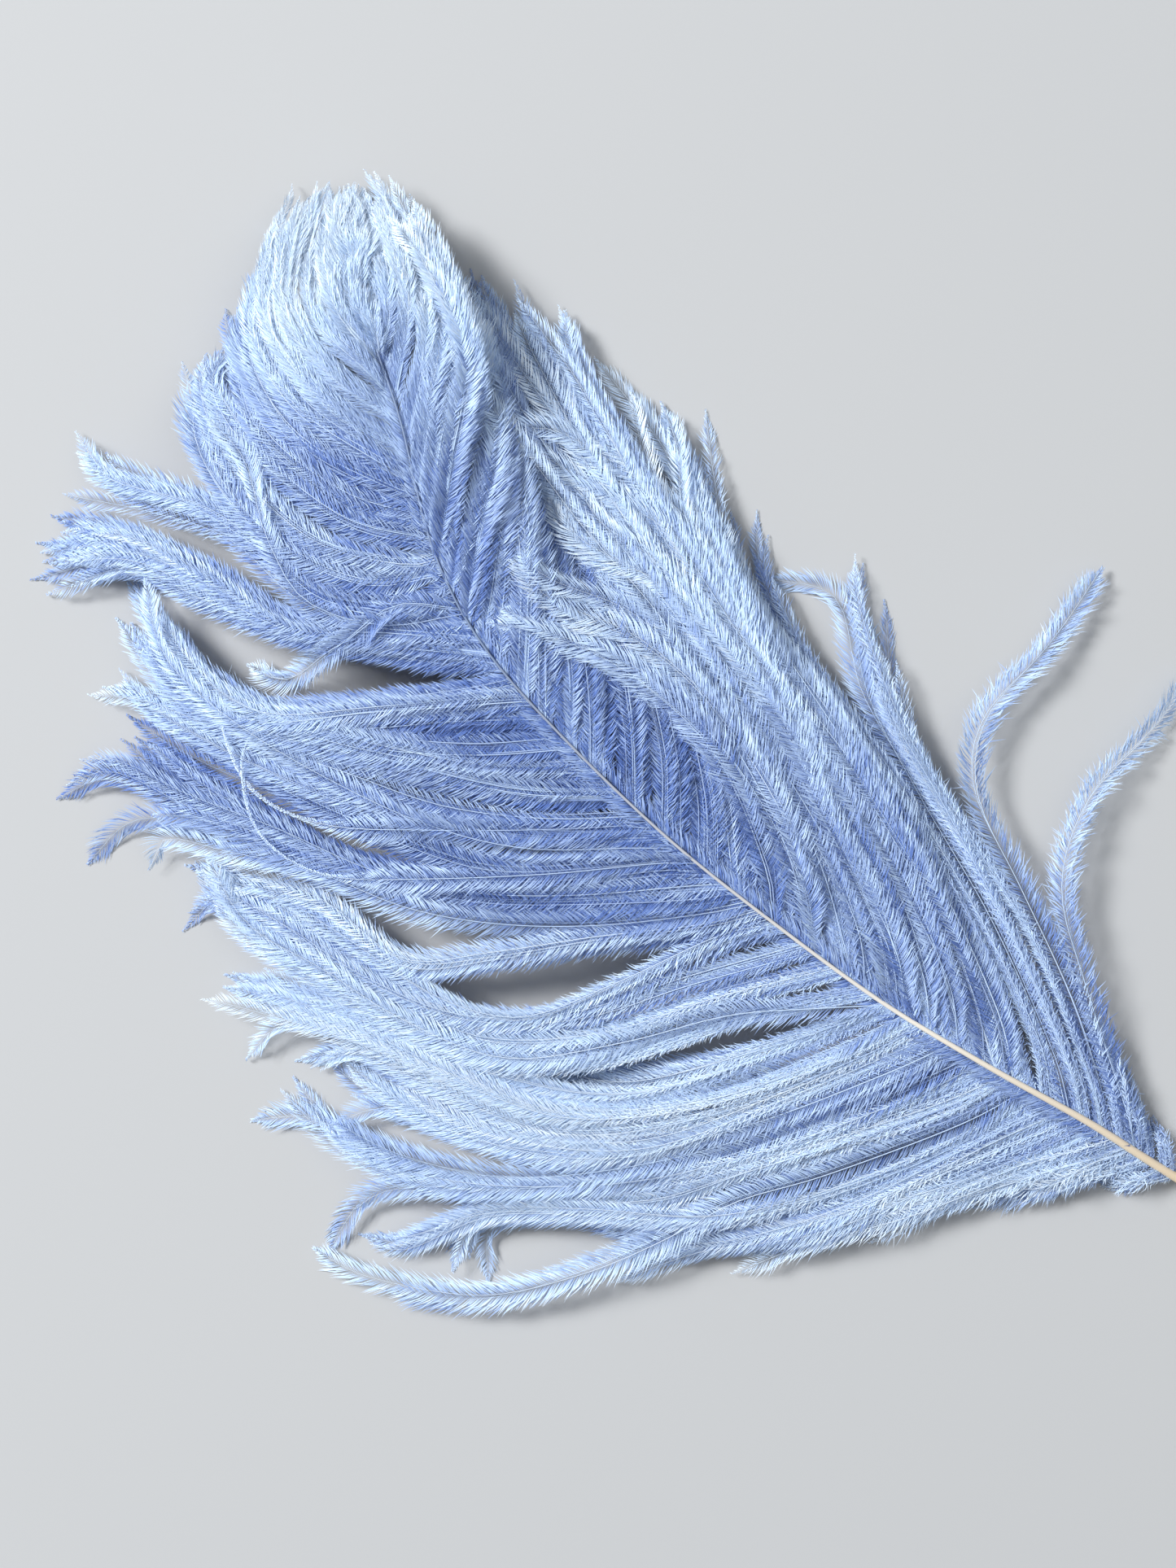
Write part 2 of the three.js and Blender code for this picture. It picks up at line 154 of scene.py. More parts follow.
RIGHT_LOCKS = (
    (-203, 7, 3, 0, 14, ((52, -198), (55, -192), (56, -186))),
    (-194, 7, 4, 0, 16, ((51, -188), (55, -181), (58, -173), (61, -165))),
    (-186, 7, 5, 1, 14, ((50, -178), (57, -167), (63, -156), (67, -145))),
    (-190, 2, 2, 2, 1, ((52, -179), (73, -137), (91, -108), (119, -93), (151, -91), (176, -87))),
    (-182, 2, 2, 2, 1, ((65, -141), (81, -98), (93, -64), (113, -49), (146, -47), (179, -40))),
    (-189, 2, 2, 2, 1, ((52, -179), (73, -137), (91, -108), (119, -93), (151, -91), (176, -87))),
    (-181, 2, 2, 2, 1, ((65, -141), (81, -98), (93, -64), (113, -49), (146, -47), (179, -40))),
    (-177, 6, 3, 1, 10, ((51, -163), (70, -118), (80, -77), (88, -41), (100, -14), (115, 7))),
    (-169, 6, 3, 2, 10, ((50, -153), (68, -106), (81, -62), (92, -22), (106, 8), (119, 25))),
    (-163, 4, 2, 1, 2, ((49, -145), (67, -98), (80, -50), (91, -13), (108, 16), (96, 39))),
    (-156, 7, 3, 2, 8, ((49, -137), (66, -87), (78, -35), (84, 9), (96, 42), (110, 57))),
    (-147, 8, 7, 1, 14, ((56, -103), (71, -49), (80, -1), (85, 40), (96, 65))),
    (-138, 6, 4, 3, 10, ((54, -93), (68, -40), (77, 8), (85, 48), (100, 76), (110, 99))),
    (-143, 3, 2, 4, 1, ((46, -122), (65, -70), (76, -19), (83, 26), (95, 67), (103, 102), (108, 133))),
    (-136, 3, 2, 4, 1, ((53, -90), (68, -38), (76, 10), (88, 52), (102, 85), (113, 106))),
    (-128, 7, 6, 2, 12, ((52, -83), (65, -31), (73, 16), (82, 59), (90, 97), (97, 133), (107, 157))),
    (-132, 2, 2, 4, 1, ((53, -88), (67, -36), (75, 12), (86, 55), (99, 88), (109, 118))),
    (-119, 7, 6, 1, 12, ((50, -73), (62, -23), (69, 26), (78, 71), (85, 109), (93, 144), (104, 165))),
    (-123, 2, 2, 4, 1, ((51, -78), (64, -27), (71, 21), (80, 65), (88, 103), (98, 135), (111, 152))),
    (-110, 7, 7, 2, 14, ((48, -63), (59, -14), (67, 34), (76, 80), (84, 119), (92, 152), (99, 174))),
    (-104, 2, 2, 5, 2, ((49, -56), (65, -3), (86, 55), (88, 90), (80, 124), (60, 141))),
    (-100, 7, 7, 1, 14, ((46, -53), (56, -5), (64, 43), (71, 90), (79, 128), (88, 159), (97, 181))),
    (-94, 2, 2, 4, 2, ((37, -71), (57, -18), (78, 40), (84, 71), (73, 105), (67, 132))),
    (-87, 7, 7, 0, 12, ((43, -44), (54, 4), (61, 52), (65, 96), (74, 133), (84, 164), (96, 187))),
    (-77, 8, 7, 1, 12, ((41, -35), (50, 12), (54, 57), (57, 99), (66, 134), (79, 165), (92, 189))),
    (-116, 2, 2, 6, 1, ((50, -69), (62, -19), (69, 31), (72, 68), (67, 95), (76, 109))),
    (-107, 2, 2, 6, 1, ((48, -60), (60, -10), (67, 33), (67, 63), (58, 92), (65, 104))),
    (-140, 2, 2, 5, 1, ((45, -120), (63, -69), (74, -18), (83, 29), (91, 63), (104, 85), (111, 102))),
    (-131, 2, 2, 5, 1, ((44, -111), (60, -61), (70, -11), (78, 36), (89, 71), (103, 90), (111, 106))),
    (-125, 2, 2, 5, 1, ((51, -80), (64, -29), (72, 18), (82, 63), (94, 97), (108, 116))),
    (-114, 2, 2, 5, 1, ((49, -68), (61, -18), (70, 32), (81, 78), (93, 118), (99, 146), (103, 165))),
    (-121, 2, 2, 6, 1, ((42, -100), (57, -50), (67, -1), (76, 48), (89, 92), (101, 130), (110, 152))),
    (-135, 2, 2, 6, 1, ((53, -90), (67, -38), (71, 7), (78, 42), (98, 65))),
    (-85, 2, 2, 6, 1, ((34, -63), (49, -14), (67, 31), (68, 60), (56, 89), (63, 111))),
    (-64, 2, 2, 5, 1, ((37, -24), (49, 21), (54, 59), (42, 90), (41, 105))),
    (-98, 2, 2, 5, 1, ((36, -76), (51, -26), (64, 22), (75, 63), (79, 96), (81, 112))),
    (-111, 2, 2, 5, 1, ((40, -88), (55, -40), (65, 13), (73, 58), (82, 91), (97, 112))),
    (-95, 2, 2, 5, 1, ((36, -72), (52, -23), (63, 29), (72, 75), (79, 118), (86, 155), (93, 175))),
    (-89, 2, 2, 6, 1, ((43, -44), (55, 6), (63, 54), (69, 96), (74, 135), (81, 161))),
    (-80, 2, 2, 5, 1, ((41, -36), (52, 12), (60, 60), (62, 99), (67, 134), (72, 156))),
    (-101, 2, 2, 6, 1, ((37, -80), (52, -30), (63, 20), (71, 66), (79, 106), (90, 141), (99, 162))),
    (-68, 3, 2, 4, 2, ((39, -29), (50, 17), (48, 54), (35, 83), (37, 106))),
    (-61, 3, 2, 4, 2, ((29, -44), (41, 0), (42, 41), (34, 73), (28, 97))),
    (-52, 7, 7, 0, 14, ((44, -11), (55, 30), (56, 66), (62, 100))),
    (-46, 2, 2, 4, 2, ((25, -30), (40, 9), (38, 47), (28, 78), (22, 96))),
    (-34, 10, 7, 1, 14, ((40, 5), (53, 44), (57, 79), (65, 108))),
    (-18, 10, 7, 0, 14, ((28, 2), (48, 37), (57, 72), (67, 102))),
    (-2, 10, 7, 1, 14, ((28, 19), (49, 53), (58, 83), (71, 110))),
    (15, 9, 7, 0, 12, ((26, 35), (46, 64), (56, 93), (71, 118))),
    (32, 8, 7, 1, 12, ((25, 51), (44, 77), (57, 104), (74, 127))),
    (45, 7, 6, 2, 12, ((25, 63), (45, 90), (60, 114), (79, 138))),
    (57, 7, 6, 1, 12, ((25, 75), (46, 99), (62, 123), (86, 147))),
    (68, 6, 6, 3, 12, ((37, 95), (56, 118), (77, 143), (98, 166))),
    (79, 6, 6, 2, 12, ((40, 105), (61, 126), (82, 153), (96, 177))),
    (89, 6, 5, 3, 12, ((43, 114), (64, 135), (83, 162), (90, 184))),
    (99, 5, 5, 4, 12, ((34, 116), (60, 134), (79, 161), (92, 193))),
    (110, 5, 5, 5, 12, ((37, 126), (66, 146), (82, 175), (90, 203))),
    (119, 5, 4, 6, 10, ((42, 136), (71, 157), (85, 185), (93, 215))),
    (129, 5, 4, 7, 10, ((47, 147), (75, 167), (86, 197), (96, 220))),
    (142, 6, 4, 8, 12, ((51, 156), (77, 175), (89, 201), (100, 233))),
    (157, 6, 4, 9, 12, ((69, 175), (84, 198), (95, 225))),
    (170, 5, 4, 9, 10, ((73, 188), (85, 210), (92, 229))),
    (184, 5, 3, 9, 10, ((67, 191), (80, 209), (88, 231))),
)

# How a barb's middle line strays from its lock's, in millimetres and in shares of its length.
SEED = 41
STATIONS = 56
FINE_STATIONS = 4 * STATIONS
QUILL_STATIONS = 800
LEAVES_BY = 0.6
SHORTEST = {"left": 0.86, "right": 0.74}
BARB_JITTER = 0.3
STRAY = {"left": 3.5, "right": 4}
STRAY_POWER = 4
LONG_LOCK = 120
WAVE_TURNS = (1.0, 2.6)
WAVE_ACROSS = 1.0
WAVE_UP = 0.6

# How high barbs lie: over or under their lock's line, on top of the others, and at the head.
OVER_SHARE = {"left": 0.35, "right": 0.22}
OVER_LIFTS = (1.0, 4.0)
UNDER_LIFTS = (-2.2, 0.2)
TOP_LIFTS = (0.0, 1.5)
TOP_LAYER = 4
HEAD_CALMER = 0.7
HEAD_FROM = (60, 110)
TIP_CALMER = 0.5
ROOT_DROP = 0.9
SILKY_DROP = 2.0
SILKY_DROP_BY = 0.5
LOWEST = 0.12

# The field of heights that the barbs on top are laid over: its cells, and how a line is laid.
CELL = 3
FIELD_CELLS = 220
CLEARANCE = 0.9
SMOOTHING = 4
LAID_BY = 0.15

# A loose lock has few barbs and grows below this place along the quill.
LOOSE_COUNT = 2
LOOSE_BELOW = 0

# The stem of a barb: a thin rod of three sides. Its rows say where it lies on the flat layout.
STEM_RADIUS = 0.26
STEM_TIP_RADIUS = 0.07
STEM_STEP = 6
STEM_FEWEST = 6
STEM_ANGLES = (math.pi / 2, math.pi * 7 / 6, math.pi * 11 / 6)
STEM_ROWS = (0.46, 0.5, 0.54)

# The barbules: the fringe of blades on both sides of a barb. How far apart they stand, how wide
# they are and how strongly they cling together in clumps, by how the barb lies. A lone barb is
# loose or on top of the others.
GAPS = {"over": 1.1, "under": 0.95, "lone": 0.75}
WIDTHS = {"over": 0.37, "under": 0.48, "lone": 0.42}
PULLS = {"over": 0.4, "under": 0.3, "lone": 0.15}
FINE = 0.72
GAP_JITTER = 0.3
CLUMPS = (1.2, 2.8)
CLUMP_OFFSET = 0.25
CLUMP_PULLS = (0.6, 1.1)
SPARE_CLUMPS = 3

# Their lengths in millimetres, and the stretches over which they grow and shrink.
BARBULE_LENGTH = 8.4
WOOLLY_LENGTH = 3.6
LONE_LONGER = 1.25
OWN_LENGTHS = (0.8, 1.04)
BLADE_LENGTHS = (0.8, 1.1)
ROOT_LENGTH = 0.65
ROOT_TAPER = 14
TIP_LENGTH = 0.12
TIP_TAPER = 15
BARE_WIDTH = 1.5
BARE_FROM = (0.45, 0.65)
BARE_REACH = 0.12

# Their angles from the barb in degrees, at three places along it, and how untidy they are.
ANGLE_PLACES = (0, 0.35, 1)
BARBULE_ANGLES = (46, 50, 36)
SILKY_ANGLES = (36, 28, 18)
WOOLLY_ANGLE = 28
UNTIDY = 3
WOOLLY_UNTIDY = 11
DOWNY_UNTIDY = 8
BARBULE_CURL = 11
CURL_UNTIDY = 2
BARBULE_ROLL = 30
LONE_ROLL = 15
OVER_TWIST = 38
UNDER_TWIST = 22

# How they droop or rise, and how much of the pull and of the droop the middle already has.
BARBULE_DROOP = 0.9
DROOPS = (0.2, 1.4)
WOOLLY_RISE = 1.6
WOOLLY_RISES = (-0.3, 1)
MIDDLE_PULL = 0.4
MIDDLE_SAG = 0.3

# Where a blade's four corners lie on the flat layout.
BLADE_CELL = 0.45
BLADE_COLUMNS = (0, 1, -1, 0)
BLADE_ROWS = (0.06, 0.25, 0.25, 0.46)

# Tones: 0 is deep blue and 1 is pale. Here are those by the quill and at the tip of a barb,
# and between which shares of its length it changes from the one to the other. The barbs
# under the others are deeper, a painted shade, and those over and on top of them are paler,
# a painted light.
UNDER_SHADE_TONES = {"left": (-0.05, 0.55), "right": (0.15, 0.42)}
OVER_LIGHT_TONES = {"left": (0.38, 0.88), "right": (0.3, 0.7)}
TOP_LIGHT_TONES = (0.3, 0.95)
LOOSE_TONES = (0.2, 0.5)
PALES = (0.1, 0.9)
# Each layer up is painted paler and each layer down deeper: a painted light and shade.
LAYER_LIGHT_AND_SHADE = 0.08
MIDDLE_LAYER = 1.5
# The stems are painted paler than their barbs, a painted highlight.
STEM_HIGHLIGHT = 0.45
WOOLLY_PALER = 0.45

# How tones differ: from barb to barb, blade to blade, clump to clump, and along a blade.
BARB_SPREAD = 0.19
TONE_SPREAD = 0.14
CLUMP_SPREAD = 0.09
SILKY_EVEN = 0.65
BARBULE_TONES = (-0.28, 0.0, 0.0, 0.2)

# Barbs low on the plume are painted paler, a painted sheen, and so are those high in the
# right vane, a painted light.
LOW_TIP_SHEEN = {"left": 0.28, "right": 0.1}
LOW_ROOT_SHEEN = {"left": 0.24, "right": 0.06}
LOW_SHEEN_SOONER = {"left": 0.28, "right": 0.0}
LOW_UNDER_SHEEN = 0.4
LOW_TO = (-70, 0)
# Barbs high in the right vane are painted paler, a painted light.
HIGH_PAINTED_LIGHT = {"left": 0.0, "right": 0.14}
HIGH_FROM = (40, 100)

# The left barbs that stay deep blue for most of their length, by their place along the quill.
BAND_FROM = (-36, -28)
BAND_TO = (-8, 2)
BAND_DEEPER = 0.3
BAND_LATER = 0.35

# The silky barbs of the head are painted pale, a painted sheen, and sooner along their length.
HEAD_SHEEN_AMOUNT = 0.45
TIP_SHEEN_SHARE = 0.6
SHEEN_SOONER_AT_HEAD = 0.35
SHEEN_ROOTS_FROM = {"left": (165, 200), "right": (180, 200)}

# Where along the quill the fringe is short and woolly, where it is untidy, and where silky. Out
# along a woolly barb it grows to its full length between these shares of the barb, sooner in
# the left vane and not quite in the right one.
WOOLLY_TO = (-90, -30)
DOWNY_TO = (-205, -165)
SILKY_FROM = (120, 165)
GROWN_BY = {"left": (0.3, 0.6), "right": (0.4, 0.8)}
MOST_GROWN = {"left": 1, "right": 0.7}

# The short fringe that the quill itself bears: where each of its lines starts, the place along
# the quill where barbs have a fringe like it, how low it lies, and its tones.
QUILL_FRINGE_FROM = (-195, -190)
QUILL_FRINGE_LIKE = 100
QUILL_FRINGE_DROP = 1.0
QUILL_FRINGE_TONES = (0.25, 0.75)
QUILL_FRINGE_PALES = (0.6, 0.95)

# A piece is closed after the lock that brings it over this many triangles.
MOST_TRIANGLES = 172000

TINY = 1e-9
NO_QUADS = np.zeros((0, 4), int)
NO_TRIANGLES = np.zeros((0, 3), int)

# A barb: its middle line, where its lock leaves the quill, its vane, whether it lies over the
# others, apart from them, and has a bare tip, its row on the flat layout, and its tone by the
# share of its length.
Barb = namedtuple("Barb", "line root side_name over lone bare row tone")

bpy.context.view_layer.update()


def smoothstep(x, low, high):
    """From 0 to 1 as x goes from low to high, with a soft start and end."""
    x = np.clip((x - low) / (high - low), 0, 1)
    return x * x * (3 - 2 * x)


def smooth_curve(points, places):
    """The smooth curve through the points, at places from 0 to 1."""
    points = np.asarray(points, float)
    padded = np.vstack([2 * points[0] - points[1], points, 2 * points[-1] - points[-2]])
    spans = len(points) - 1
    at = np.clip(places, 0, 1) * spans
    first = np.minimum(at.astype(int), spans - 1)
    f = (at - first)[:, None]
    a, b, c, d = (padded[first + i] for i in range(4))
    return 0.5 * (
        2 * b + (c - a) * f + (2 * a - 5 * b + 4 * c - d) * f**2 + (3 * b - a - 3 * c + d) * f**3
    )


def interpolate(at, places, values):
    """The columns of values at other places."""
    return np.column_stack([np.interp(at, places, column) for column in values.T])


def step_lengths(line):
    """The distance from each point of a line to the next."""
    return np.linalg.norm(np.diff(line, axis=0), axis=1)


def distances(line):
    """How far along a line each of its points is."""
    return np.r_[0, np.cumsum(step_lengths(line))]


def resample(line, reach, count):
    """The line up to a share of its length, with its points evenly spaced."""
    along = distances(line)
    return interpolate(np.linspace(0, reach * along[-1], count), along, line)


def directions(line):
    """The unit direction at each point of a line."""
    step = np.gradient(line, axis=0)
    return step / np.maximum(np.linalg.norm(step, axis=1, keepdims=True), TINY)


def side_and_up(forward):
    """The level directions to the side of a line, and those that point up from it."""
    side = np.cross(forward, (0, 0, 1))
    side /= np.linalg.norm(side, axis=1, keepdims=True)
    return side, np.cross(side, forward)


QUILL = smooth_curve(QUILL_LINE, np.linspace(0, 1, QUILL_STATIONS))


def quill_at(y):
    """The point of the quill's middle line at a place along Y."""
    return interpolate(y, QUILL[:, 1], QUILL)[0]


def wave(rng, places, height):
    """A gentle random wave along a barb."""
    turns = rng.uniform(*WAVE_TURNS)
    return height * np.sin(2 * math.pi * (turns * places + rng.uniform()))


def lies_on_top(lock):
    """Whether a lock's barbs lie across the others, on top of them."""
    return lock.layer >= TOP_LAYER and lock.root < SILKY_FROM[0]


def is_loose(lock):
    """Whether a lock is a loose one that lies among the others."""
    return lock.count <= LOOSE_COUNT and lock.root < LOOSE_BELOW and not lies_on_top(lock)


def barb_lines(rng, lock, side_name):
    """The middle lines of a lock's barbs, each with whether it lies over the others."""
    start = quill_at(lock.root)
    places = np.linspace(0, 1, STATIONS)
    middle = smooth_curve([start[:2], *lock.line], places)
    forward = directions(middle)
    side = np.column_stack([-forward[:, 1], forward[:, 0]])
    along_quill = quill_at(lock.root + 1)[:2] - start[:2]
    side *= np.sign(side[0] @ along_quill)
    leaving = (1 - smoothstep(places, 0, LEAVES_BY))[:, None]
    calmer = min(1, step_lengths(middle).sum() / LONG_LOCK)
    top = lies_on_top(lock)
    lifted = np.minimum(1, places / LAYER_BY)
    fallen = places**FALL_POWER
    rise = ARCH * np.sin(math.pi * places)
    rise += LAYER_STEP * (MIDDLE_LAYER if top else lock.layer) * lifted
    lines = []
    for j in range(lock.count):
        across = (2 * (j + 0.5 + BARB_JITTER * rng.uniform(-1, 1)) / lock.count) - 1
        own_start = quill_at(lock.root + across * lock.span / 2)
        stray = STRAY[side_name] * rng.normal() * places**STRAY_POWER if lock.count > 1 else 0
        shift = across * lock.width / 2 + wave(rng, places, WAVE_ACROSS) * places + stray * calmer
        shift = shift[:, None]
        plan = middle + leaving * (own_start - start)[:2] + (1 - leaving) * side * shift
        height = own_start[2] * (1 - fallen) + TIP_HEIGHT * fallen
        height += rise * (1 - TIP_CALMER * places)
        over = (
            lock.count == 1
            or lock.layer >= TOP_LAYER
            or rng.uniform() < OVER_SHARE[side_name]
        )
        lift = rng.uniform(*(TOP_LIFTS if top else OVER_LIFTS if over else UNDER_LIFTS))
        lift *= 1 - HEAD_CALMER * smoothstep(lock.root, *HEAD_FROM) * (lift > 0)
        height += lift * lifted - ROOT_DROP
        drop = SILKY_DROP * smoothstep(lock.root, *SILKY_FROM)
        height -= drop * (1 - smoothstep(places, 0, SILKY_DROP_BY))
        height += wave(rng, places, WAVE_UP) * places
        points = np.column_stack([plan, np.maximum(height, TIP_HEIGHT)])
        reach = rng.uniform(SHORTEST[side_name], 1) if j else 1
        lines.append((resample(points, reach, STATIONS), over))
    return lines


class Surface:
    """The height of the barbs laid so far, in square cells seen from above."""

    def __init__(self):
        self.heights = np.zeros((FIELD_CELLS, FIELD_CELLS))

    def cells(self, line):
        """The cells that the points of a line lie in."""
        at = np.round(line[:, :2] / CELL).astype(int) + FIELD_CELLS // 2
        return np.clip(at, 1, FIELD_CELLS - 2).T

    def add(self, line):
        """Raise the surface to a line, in its cells and the ones around them."""
        line = resample(line, 1, FINE_STATIONS)
        across, along = self.cells(line)
        for i in (-1, 0, 1):
            for j in (-1, 0, 1):
                np.maximum.at(self.heights, (across + i, along + j), line[:, 2])

    def lay(self, line):
        """The line lifted where it would run below the surface."""
        across, along = self.cells(line)
        lift = np.maximum(self.heights[across, along] + CLEARANCE - line[:, 2], 0)
        padded = np.pad(lift, SMOOTHING, mode="edge")
        window = 2 * SMOOTHING + 1
        lift = np.convolve(padded, np.ones(window) / window, "valid")
        lift *= smoothstep(np.linspace(0, 1, len(line)), 0, LAID_BY)
        return line + lift[:, None] * (0, 0, 1)


class Strands:
    """Collects faces of three and four corners, and makes one mesh of them."""

    def __init__(self):
        self.points = []
        self.tones = []
        self.maps = []
        self.quads = []
        self.triangles = []
        self.count = 0
        self.barbs = 0

    def size(self):
        """How many triangles there are so far."""
        return sum(2 * len(q) for q in self.quads) + sum(len(t) for t in self.triangles)

    def add(self, points, tones, maps, quads=NO_QUADS, triangles=NO_TRIANGLES):
        """Add points, with the tone and the place on the flat layout of each, and their faces."""
        self.points.append(points)
        self.tones.append(tones)
        self.maps.append(maps)
        self.quads.append(quads + self.count)
        self.triangles.append(triangles + self.count)
        self.count += len(points)

    def make(self, name, material):
        """One object of all that was added, with its tones and its flat layout."""
        points = (np.concatenate(self.points) + TO_FRAME) * MM
        quads = np.concatenate(self.quads)
        triangles = np.concatenate(self.triangles)
        corners = np.concatenate([quads.ravel(), triangles.ravel()]).astype(np.int32)
        starts = np.r_[np.arange(len(quads)) * 4, len(quads) * 4 + np.arange(len(triangles)) * 3]
        mesh = bpy.data.meshes.new(name)
        mesh.vertices.add(len(points))
        mesh.vertices.foreach_set("co", points.astype(np.float32).ravel())
        mesh.loops.add(len(corners))
        mesh.loops.foreach_set("vertex_index", corners)
        mesh.polygons.add(len(starts))
        mesh.polygons.foreach_set("loop_start", starts.astype(np.int32))
        mesh.update(calc_edges=True)
        tone = mesh.attributes.new("tone", "FLOAT", "POINT")
        tone.data.foreach_set("value", np.concatenate(self.tones).astype(np.float32))
        layout = mesh.uv_layers.new(name="OFBake")
        maps = np.concatenate(self.maps)
        maps[:, 1] /= max(self.barbs, 1)
        layout.uv.foreach_set("vector", maps[corners].astype(np.float32).ravel())
        mesh.materials.append(material)
        piece = bpy.data.objects.new(name, mesh)
        bpy.context.scene.collection.objects.link(piece)
        return piece


def add_stem(strands, barb):
    """The barb's own stem, with three sides."""
    sides = len(STEM_ANGLES)
    count = max(STEM_FEWEST, int(step_lengths(barb.line).sum() / STEM_STEP))
    line = resample(barb.line, 1, count)
    side, up = side_and_up(directions(line))
    share = np.linspace(0, 1, count)
    radius = (STEM_RADIUS + (STEM_TIP_RADIUS - STEM_RADIUS) * share)[:, None]
    rings = [line + radius * (math.cos(a) * side + math.sin(a) * up) for a in STEM_ANGLES]
    ring = np.arange(count - 1)[:, None] * sides
    corner = np.arange(sides)[None, :]
    following = (corner + 1) % sides
    quads = np.stack(
        [ring + corner, ring + following, ring + sides + following, ring + sides + corner], axis=-1
    )
    # The stem is painted paler than its barb, a painted highlight.
    tones = np.repeat(barb.tone(share) + STEM_HIGHLIGHT, sides)
    maps = np.column_stack([np.repeat(share, sides), barb.row + np.tile(STEM_ROWS, count)])
    strands.add(np.stack(rings, axis=1).reshape(-1, 3), tones, maps, quads=quads.reshape(-1, 4))


def barbule_lengths(rng, barb, at, whole, short, own_length):
    """How long each barbule is: shorter by the quill, at the tip and where they are woolly."""
    length = BARBULE_LENGTH * (1 - short) + WOOLLY_LENGTH * short
    length *= ROOT_LENGTH + (1 - ROOT_LENGTH) * smoothstep(at, 0, ROOT_TAPER)
    length *= TIP_LENGTH + (1 - TIP_LENGTH) * smoothstep(whole - at, 0, TIP_TAPER)
    length *= own_length * rng.uniform(*BLADE_LENGTHS, len(at)) * (LONE_LONGER if barb.lone else 1)
    if barb.bare:
        length *= 1 - (1 - BARE_REACH) * smoothstep(at / whole, *BARE_FROM)
    return length[:, None]


def add_barbules(rng, strands, barb):
    """The fringe on both sides of a barb: bent blades of two faces, leaning to the tip."""
    kind = "lone" if barb.lone else "over" if barb.over else "under"
    along = distances(barb.line)
    whole = along[-1]
    forward_at = directions(barb.line)
    most_twist = math.radians(OVER_TWIST if barb.over else UNDER_TWIST)
    twist_at = most_twist * wave(rng, np.linspace(0, 1, len(barb.line)), 1)
    woolly = 0 if barb.lone else 1 - smoothstep(barb.root, *WOOLLY_TO)
    silky = smoothstep(barb.root, *SILKY_FROM)
    downy = 1 - smoothstep(barb.root, *DOWNY_TO)
    angles = np.array(BARBULE_ANGLES) * (1 - silky) + np.array(SILKY_ANGLES) * silky
    clump = rng.uniform(*CLUMPS)
    own_length = rng.uniform(*OWN_LENGTHS)
    fine = 1 - (1 - FINE) * max(woolly, silky)
    gap = GAPS[kind] * fine
    gap *= 1
    half = WIDTHS[kind] * fine / 2
    roll = LONE_ROLL if barb.lone else BARBULE_ROLL
    for turn in (-1, 1):
        at = np.arange(gap, whole, gap)
        at = at + rng.uniform(-GAP_JITTER, GAP_JITTER, len(at)) * gap
        column = (len(at), 1)
        share = at / whole
        base = interpolate(at, along, barb.line)
        forward = interpolate(at, along, forward_at)
        side, up = side_and_up(forward)
        twist = np.interp(at, along, twist_at)[:, None]
        outward = turn * (np.cos(twist) * side + np.sin(twist) * up)

        grown = MOST_GROWN[barb.side_name] * smoothstep(share, *GROWN_BY[barb.side_name])
        short = woolly * (1 - grown)
        untidy = UNTIDY + WOOLLY_UNTIDY * short + DOWNY_UNTIDY * downy
        angle = np.interp(share, ANGLE_PLACES, angles) * (1 - short) + WOOLLY_ANGLE * short
        angle = np.radians(angle + rng.normal(0, untidy))[:, None]
        reach = barbule_lengths(rng, barb, at, whole, short, own_length)
        curl = np.radians(BARBULE_CURL + rng.normal(0, CURL_UNTIDY * untidy))[:, None]
        group = np.round(at / clump + CLUMP_OFFSET * turn) - CLUMP_OFFSET * turn
        pull = (group * clump - at)[:, None] * PULLS[kind] * rng.uniform(*CLUMP_PULLS, column)
        sag = -BARBULE_DROOP * rng.uniform(*DROOPS, column)
        sag += WOOLLY_RISE * short[:, None] * rng.uniform(*WOOLLY_RISES, column)

        early = np.cos(angle) * forward + np.sin(angle) * outward
        late = np.cos(angle - curl) * forward + np.sin(angle - curl) * outward
        middle = base + 0.5 * reach * early + MIDDLE_PULL * pull * forward
        middle[:, 2:] += MIDDLE_SAG * sag
        tip = middle + 0.5 * reach * late + (1 - MIDDLE_PULL) * pull * forward
        tip[:, 2:] += (1 - MIDDLE_SAG) * sag
        tilt = np.radians(rng.uniform(-roll, roll, column))
        flat = np.cos(angle) * outward - np.sin(angle) * forward
        broad = np.cos(tilt) * flat + np.sin(tilt) * up
        points = np.stack([base, middle + half * broad, middle - half * broad, tip], axis=1)
        points[:, :, 2] = np.maximum(points[:, :, 2], LOWEST)
        first = np.arange(len(at))[:, None] * 4
        triangles = np.concatenate([first + (0, 1, 2), first + (2, 1, 3)])
        if turn > 0:
            triangles = triangles[:, ::-1]

        clump_tones = rng.normal(0, CLUMP_SPREAD, int(whole / clump) + SPARE_CLUMPS)
        clump_tones = clump_tones[np.maximum(np.round(group).astype(int), 0)]
        tones = barb.tone(share) + rng.normal(0, TONE_SPREAD, len(at)) + WOOLLY_PALER * short
        tones += (1 - SILKY_EVEN * silky) * clump_tones
        tones = tones[:, None] + np.array(BARBULE_TONES)
        maps = np.zeros((len(at), 4, 2))
        maps[:, :, 0] = share[:, None] + BLADE_CELL * gap / whole * np.array(BLADE_COLUMNS)
        maps[:, :, 1] = barb.row + 0.5 + turn * np.array(BLADE_ROWS)
        strands.add(
            points.reshape(-1, 3), tones.ravel(), maps.reshape(-1, 2), triangles=triangles
        )


def tone_along(first, last, pales):
    """The tone by the share of a barb's length, from the first to the last between the pales."""

    def tone(share):
        return first + (last - first) * smoothstep(share, *pales)

    return tone


